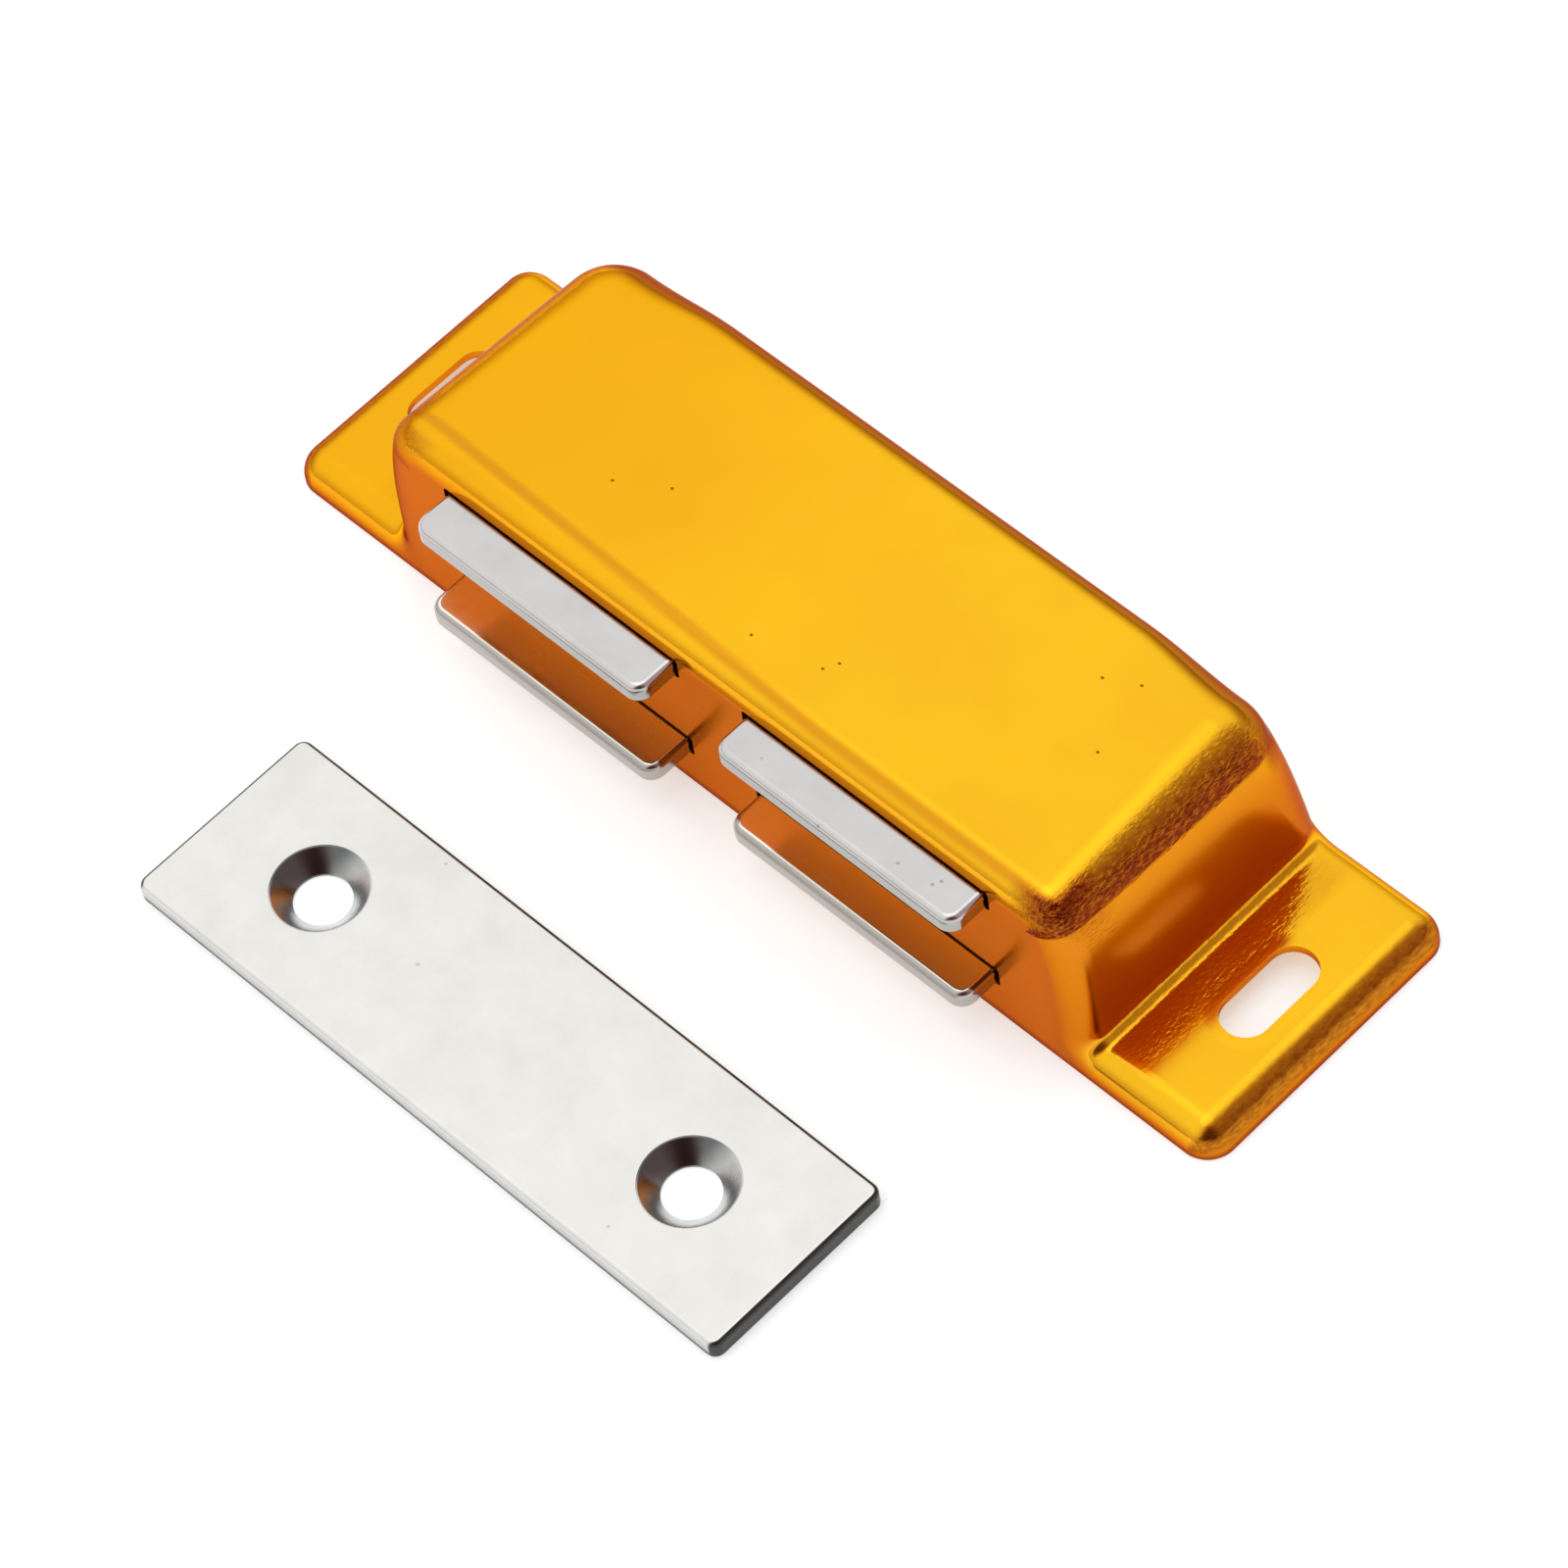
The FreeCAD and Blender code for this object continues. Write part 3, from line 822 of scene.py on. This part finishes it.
def case_skin(case, inset):
    """Rows of points across the case, one for each station, inset from the outside."""
    front_steps, middle_steps, rear_steps = 12, 8, 14
    rear_normal = Vector((0.0, math.cos(case.rear_draft), math.sin(case.rear_draft)))
    front_normal = Vector((0.0, -1.0, 0.0))
    rows = []
    front_half = both_sides(side_profile(case, case.brow_front))
    rear_half = both_sides(side_profile(case, case.brow_rear))
    for (x, z, normal_x, normal_z, _), (back_x, back_z, _, _, radius) in zip(front_half, rear_half):
        normal = Vector((normal_x, 0.0, normal_z))
        front = Vector((x, CASE_LOW[1] + case.edge, z)) - case.edge * normal
        rear = Vector((back_x, 0.0, back_z)) - radius * normal
        rear.y = CASE_HIGH[1] - radius / math.cos(case.rear_draft) - rear.z * math.tan(case.rear_draft)
        row = []
        for step in range(front_steps + 1):
            angle = math.pi / 2 * step / front_steps
            turned = normal * math.sin(angle) + front_normal * math.cos(angle)
            row.append(front + (case.edge - inset) * turned)
        last = row[-1]
        first = rear + (radius - inset) * normal
        for step in range(1, middle_steps):
            row.append(last.lerp(first, step / middle_steps))
        for step in range(rear_steps + 1):
            row.append(rear + (radius - inset) * normal.slerp(rear_normal, step / rear_steps))
        if not rows or len(rows) == len(front_half) - 1:
            for point in row:
                point.z = 0.0
        rows.append(row)
    return rows


def case_shell(case):
    """Points and faces of the closed shell: outer skin, inner skin and the edge on the mounting plane."""
    outer = case_skin(case, 0.0)
    inner = case_skin(case, case.sheet)
    wide = len(outer[0])
    high = len(outer)
    points = [point for row in outer + inner for point in row]
    faces = []
    for base, flip in ((0, False), (wide * high, True)):
        skin = []
        for row in range(high - 1):
            for column in range(wide - 1):
                corner = base + row * wide + column
                skin.append([corner, corner + 1, corner + wide + 1, corner + wide])
        skin.append([base + row * wide for row in range(high)])
        skin.append([base + row * wide + wide - 1 for row in reversed(range(high))])
        faces += [list(reversed(face)) for face in skin] if flip else skin
    for row, step in ((0, 1), (high - 1, -1)):
        for column in range(wide - 1):
            first = row * wide + column
            ring = [first, first + wide * high, first + 1 + wide * high, first + 1]
            faces.append(ring if step > 0 else list(reversed(ring)))
    last = (high - 1) * wide
    inner_start = wide * high
    faces.append([0, last, last + inner_start, inner_start])
    end = wide - 1
    faces.append([end, inner_start + end, inner_start + last + end, last + end])
    return points, faces


def pole_slot_cutter(case, node_name):
    """The cutter for one pole plate's slot, from the plate's own place."""
    low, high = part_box(node_name)
    ear = bpy.context.scene.pole_plate.ear
    half_x = (high[0] - low[0]) / 2 - ear + case.slot_gap
    half_z = (high[2] - low[2]) / 2 + case.slot_gap
    centre = ((low[0] + high[0]) / 2, (low[2] + high[2]) / 2)
    outline = rounded_rectangle(centre, half_x, half_z, case.slot_corner, 5)
    depth = 2 * MM
    ends = (CASE_LOW[1] - depth, CASE_LOW[1] + case.sheet + depth)
    points = [Vector((x, y, z)) for y in ends for x, z in outline]
    return closed_tube(points, len(outline))


def screw_slot_cutter(case, side):
    """The cutter for one screw slot. Its ends are just short of half round, so that no points double."""
    half_x, half_y = case.screw_width / 2, case.screw_length / 2
    outline = rounded_rectangle((side * case.screw_x, case.screw_y), half_x, half_y, half_x * 0.999, 24)
    depth = 2 * MM
    return rolled_slab(outline, -depth, case.flange + depth, 0.0, 0.0, 1)


class CATCH_OT_case(bpy.types.Operator):
    """Build the drawn gold case with its pole slots and screw slots"""

    bl_idname = "catch.case"
    bl_label = "Drawn case"

    def execute(self, context):
        case = context.scene.catch_case
        gold = gold_material(context.scene.catch_finish, case)
        shell = new_piece("Case shell", *case_shell(case), gold)
        tidy_mesh(shell)
        poles = [f"{pack}_{row}_pole" for pack in PACKS for row in ("upper", "lower")]
        cutters = [pole_slot_cutter(case, pole) for pole in poles]
        cutters += [screw_slot_cutter(case, side) for side in (-1, 1)]
        cutter = new_piece("Case cutter", *joined(cutters), gold)
        tidy_mesh(cutter)
        with_modifier(shell, "BOOLEAN", operation="DIFFERENCE", object=cutter, solver="EXACT")
        with_modifier(
            shell, "BEVEL", width=case.lip, segments=2, limit_method="ANGLE", angle_limit=PUNCHED_ANGLE
        )
        piece = finished(shell, "drawn_case")
        bpy.data.objects.remove(cutter)
        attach(piece, "catch_case")
        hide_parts("case")
        return {"FINISHED"}


# The pole plates


def pole_plate_mesh(plate, node_name):
    """Points and faces of one stamped pole plate in its place."""
    low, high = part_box(node_name)
    middle_x = (low[0] + high[0]) / 2
    half_back = (high[0] - low[0]) / 2
    half_nose = half_back - plate.ear
    neck_y = low[1] + plate.neck
    outline = []
    for side, quarter in ((-1, 2), (1, 3)):
        centre = (middle_x + side * (half_nose - plate.corner), low[1] + plate.corner)
        outline += quarter_arc(centre, plate.corner, quarter, 10)
    right_side = ((half_nose, neck_y), (half_back, neck_y), (half_back, high[1]))
    outline += [Vector((middle_x + x, y)) for x, y in right_side]
    outline += [Vector((middle_x - x, y)) for x, y in reversed(right_side)]
    return rolled_slab(outline, low[2], high[2], plate.burr, plate.edge)


def plate_pair_tree(material):
    """Geometry nodes that set two of the plate above each other, the upper one moved back by its creep."""
    tree = bpy.data.node_groups.new("Plate pair", "GeometryNodeTree")
    face = tree.interface
    face.new_socket(name="Geometry", in_out="INPUT", socket_type="NodeSocketGeometry")
    sockets = {}
    for label in ("Rise", "Upper Setback"):
        sockets[label] = face.new_socket(name=label, in_out="INPUT", socket_type="NodeSocketFloat").identifier
    face.new_socket(name="Geometry", in_out="OUTPUT", socket_type="NodeSocketGeometry")
    given = tree.nodes.new("NodeGroupInput").outputs
    result = tree.nodes.new("NodeGroupOutput").inputs
    offset = node(tree, "ShaderNodeCombineXYZ", {"Y": given["Upper Setback"], "Z": given["Rise"]}).outputs[0]
    line = node(tree, "GeometryNodeMeshLine", {"Count": 2, "Offset": offset}, mode="OFFSET").outputs[0]
    placed = node(
        tree, "GeometryNodeInstanceOnPoints", {"Points": line, "Instance": given["Geometry"]}
    ).outputs[0]
    real = node(tree, "GeometryNodeRealizeInstances", {"Geometry": placed}).outputs[0]
    painted = node(tree, "GeometryNodeSetMaterial", {"Geometry": real, "Material": material}).outputs[0]
    tree.links.new(painted, result["Geometry"])
    return tree, sockets


class CATCH_OT_pole_plates(bpy.types.Operator):
    """Build the two pole plates of each magnet pack"""

    bl_idname = "catch.pole_plates"
    bl_label = "Pole plates"

    def execute(self, context):
        plate = context.scene.pole_plate
        look = context.scene.catch_finish
        steel = steel_material(
            look, "Plated pole steel", look.pole, look.side, 330.0, (0.11, 0.17), look.lower_pole, POLE_NICKS
        )
        tree, sockets = plate_pair_tree(steel)
        for pack in PACKS:
            lower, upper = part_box(f"{pack}_lower_pole"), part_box(f"{pack}_upper_pole")
            pair = new_piece("Plate blank", *pole_plate_mesh(plate, f"{pack}_lower_pole"))
            modifier = pair.modifiers.new("Pair", "NODES")
            modifier.node_group = tree
            modifier[sockets["Rise"]] = upper[0][2] - lower[0][2]
            modifier[sockets["Upper Setback"]] = upper[0][1] - lower[0][1]
            piece = finished(pair, f"{pack}_pole_plates")
            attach(piece, f"{pack}_pack")
            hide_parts(f"{pack}_upper_pole", f"{pack}_lower_pole")
        return {"FINISHED"}


# The strike plate


def countersink_profile(strike):
    """(radius, height) pairs up the cutter for one hole, whose rim is eased into the plate's top."""
    hole, sink, top = strike.hole / 2, strike.sink / 2, STRIKE_HIGH[2]
    eased = ((-0.07, -0.07), (0.02, -0.02), (0.14, 0.01))
    rim = [(sink + outward * MM, top + upward * MM) for outward, upward in eased]
    return [(hole, -MM), (hole, top - (sink - hole)), *rim, (rim[-1][0], top + MM)]


class CATCH_OT_strike_plate(bpy.types.Operator):
    """Build the strike plate with its two turned countersinks"""

    bl_idname = "catch.strike_plate"
    bl_label = "Strike plate"

    def execute(self, context):
        strike = context.scene.strike_plate
        look = context.scene.catch_finish
        middle = Vector((STRIKE_LOW[0] + STRIKE_HIGH[0], STRIKE_LOW[1] + STRIKE_HIGH[1])) / 2
        half_x = (STRIKE_HIGH[0] - STRIKE_LOW[0]) / 2
        half_y = (STRIKE_HIGH[1] - STRIKE_LOW[1]) / 2
        outline = rounded_rectangle(middle, half_x, half_y, strike.corner, 8)
        plate = rolled_slab(outline, 0.0, STRIKE_HIGH[2], strike.burr, strike.edge)
        steel = steel_material(
            look, "Plated strike steel", look.steel, look.rolled_edge_shade, 260.0, (0.24, 0.36), sheared=True
        )
        blank = new_piece("Strike blank", *plate, steel)
        profile = countersink_profile(strike)
        holes = [lathe(profile, (middle.x + side * strike.pitch / 2, middle.y)) for side in (-1, 1)]
        turned = turned_material(look, middle, strike.pitch)
        cutter = new_piece("Strike cutter", *joined(holes), turned)
        tidy_mesh(cutter)
        with_modifier(
            blank, "BOOLEAN", operation="DIFFERENCE", object=cutter, solver="EXACT", material_mode="TRANSFER"
        )
        piece = finished(blank, "strike_plate_finished")
        bpy.data.objects.remove(cutter)
        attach(piece, "catch_case")
        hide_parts("strike_plate")
        return {"FINISHED"}


# The pieces inside the case


class CATCH_OT_inner_pieces(bpy.types.Operator):
    """Give the magnets, the holder and the cover their materials"""

    bl_idname = "catch.inner_pieces"
    bl_label = "Magnets and mouldings"

    def execute(self, context):
        look = context.scene.catch_finish
        ferrite = dull_material("Ferrite", look.ferrite, 0.55, 0.8, 260.0, 0.03 * MM)
        plastic = dull_material("Moulded plastic", look.plastic, 0.4, 0.55, 180.0, 0.012 * MM)
        finishes = {f"{pack}_magnet": ferrite for pack in PACKS}
        finishes.update({"magnet_holder": plastic, "base_cover": plastic})
        for name, material in finishes.items():
            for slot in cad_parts[name].material_slots:
                slot.material = material
        return {"FINISHED"}


# Floor, light and camera


def make_floor(stage):
    size = 3.0
    level = -0.02 * MM
    corners = [(-size, -size, level), (size, -size, level), (size, size, level), (-size, size, level)]
    material, tree, shader, place = new_material(
        "Studio floor", Roughness=0.9, Metallic=0.0, Specular_IOR_Level=0.0, Emission_Color=(1.0,) * 4
    )
    darker = tuple(0.985 * value for value in stage.floor)
    tint = mix_colour(tree, noise(tree, place, 30.0), darker, stage.floor)
    tree.links.new(tint, shader.inputs["Base Color"])
    rays = tree.nodes.new("ShaderNodeLightPath").outputs
    seen = most(tree, *(rays[f"Is {kind} Ray"] for kind in ("Camera", "Glossy", "Transmission")))
    tree.links.new(times(tree, seen, stage.lift), shader.inputs["Emission Strength"])
    new_piece("Studio floor", corners, [[0, 1, 2, 3]], material)


def make_light(stage):
    """A studio sky: bright overhead and on the left, with a dark flag on the right."""
    world = bpy.data.worlds.new("Studio light")
    world.use_nodes = True
    tree = world.node_tree
    look_along = tree.nodes.new("ShaderNodeTexCoord").outputs["Generated"]
    rightward, rearward, up = split(tree, look_along)
    low = ramp(tree, rearward, *REAR_LIGHT, stage.side, stage.rear)
    low = blend(tree, ramp(tree, rightward, *RIGHT_LIGHT), low, stage.wall)
    high = ramp(tree, up, *OVERHEAD_LIGHT, stage.high, stage.sky)
    even = blend(tree, ramp(tree, up, *HIGH_LIGHT), low, high)
    flagged = times(tree, ramp(tree, rightward, *FLAG_SIDE), ramp(tree, up, *FLAG_FOOT))
    let_past = ramp(tree, rearward, *FLAG_REAR, stage.front_flag, stage.flag)
    strength = times(tree, even, blend(tree, flagged, 1.0, let_past))
    dim = maths(tree, "POWER", maths(tree, "MINIMUM", strength, 1.0), stage.warmth)
    tint = node(tree, "ShaderNodeCombineColor", {"Red": 1.0, "Green": dim, "Blue": dim}).outputs["Color"]
    background = tree.nodes["Background"]
    tree.links.new(strength, background.inputs["Strength"])
    tree.links.new(tint, background.inputs["Color"])
    bpy.context.scene.world = world


def make_camera(stage):
    turn, rise, roll = stage.azimuth, stage.elevation, stage.roll
    ahead = Vector((-math.sin(turn) * math.cos(rise), math.cos(turn) * math.cos(rise), -math.sin(rise)))
    level = Vector((math.cos(turn), math.sin(turn), 0.0))
    above = level.cross(ahead)
    right = math.cos(roll) * level + math.sin(roll) * above
    up = -math.sin(roll) * level + math.cos(roll) * above
    data = bpy.data.cameras.new("Camera")
    data.lens = stage.lens
    data.sensor_width = 36.0
    data.clip_start = 0.01
    camera = bpy.data.objects.new("Camera", data)
    place = Matrix((right, up, -ahead)).transposed().to_4x4()
    place.translation = Vector(stage.target) - ahead * stage.distance
    camera.matrix_world = place
    bpy.context.scene.collection.objects.link(camera)
    bpy.context.scene.camera = camera


class CATCH_OT_studio(bpy.types.Operator):
    """Set up the floor, the soft light and the camera"""

    bl_idname = "catch.studio"
    bl_label = "Studio"

    def execute(self, context):
        stage = context.scene.catch_stage
        make_floor(stage)
        make_light(stage)
        make_camera(stage)
        context.scene.view_settings.view_transform = "Standard"
        return {"FINISHED"}


class CATCH_PT_panel(bpy.types.Panel):
    """Lists the steps that build the catch"""

    bl_idname = "CATCH_PT_panel"
    bl_label = "Magnetic catch"
    bl_space_type = "VIEW_3D"
    bl_region_type = "UI"
    bl_category = "Catch"

    def draw(self, context):
        for operator in OPERATORS:
            self.layout.operator(operator.bl_idname)


SETTINGS = {
    "catch_case": CaseSettings,
    "pole_plate": PoleSettings,
    "strike_plate": StrikeSettings,
    "catch_finish": FinishSettings,
    "catch_stage": StageSettings,
}
OPERATORS = (
    CATCH_OT_studio,
    CATCH_OT_case,
    CATCH_OT_pole_plates,
    CATCH_OT_strike_plate,
    CATCH_OT_inner_pieces,
)


def register():
    for entry in (*SETTINGS.values(), *OPERATORS, CATCH_PT_panel):
        bpy.utils.register_class(entry)
    for name, settings in SETTINGS.items():
        setattr(bpy.types.Scene, name, bpy.props.PointerProperty(type=settings))


def unregister():
    for name in SETTINGS:
        delattr(bpy.types.Scene, name)
    for entry in reversed((*SETTINGS.values(), *OPERATORS, CATCH_PT_panel)):
        bpy.utils.unregister_class(entry)


def main():
    register()
    bpy.ops.catch.studio()
    bpy.ops.catch.case()
    bpy.ops.catch.pole_plates()
    bpy.ops.catch.strike_plate()
    bpy.ops.catch.inner_pieces()


if __name__ == "__main__":
    main()
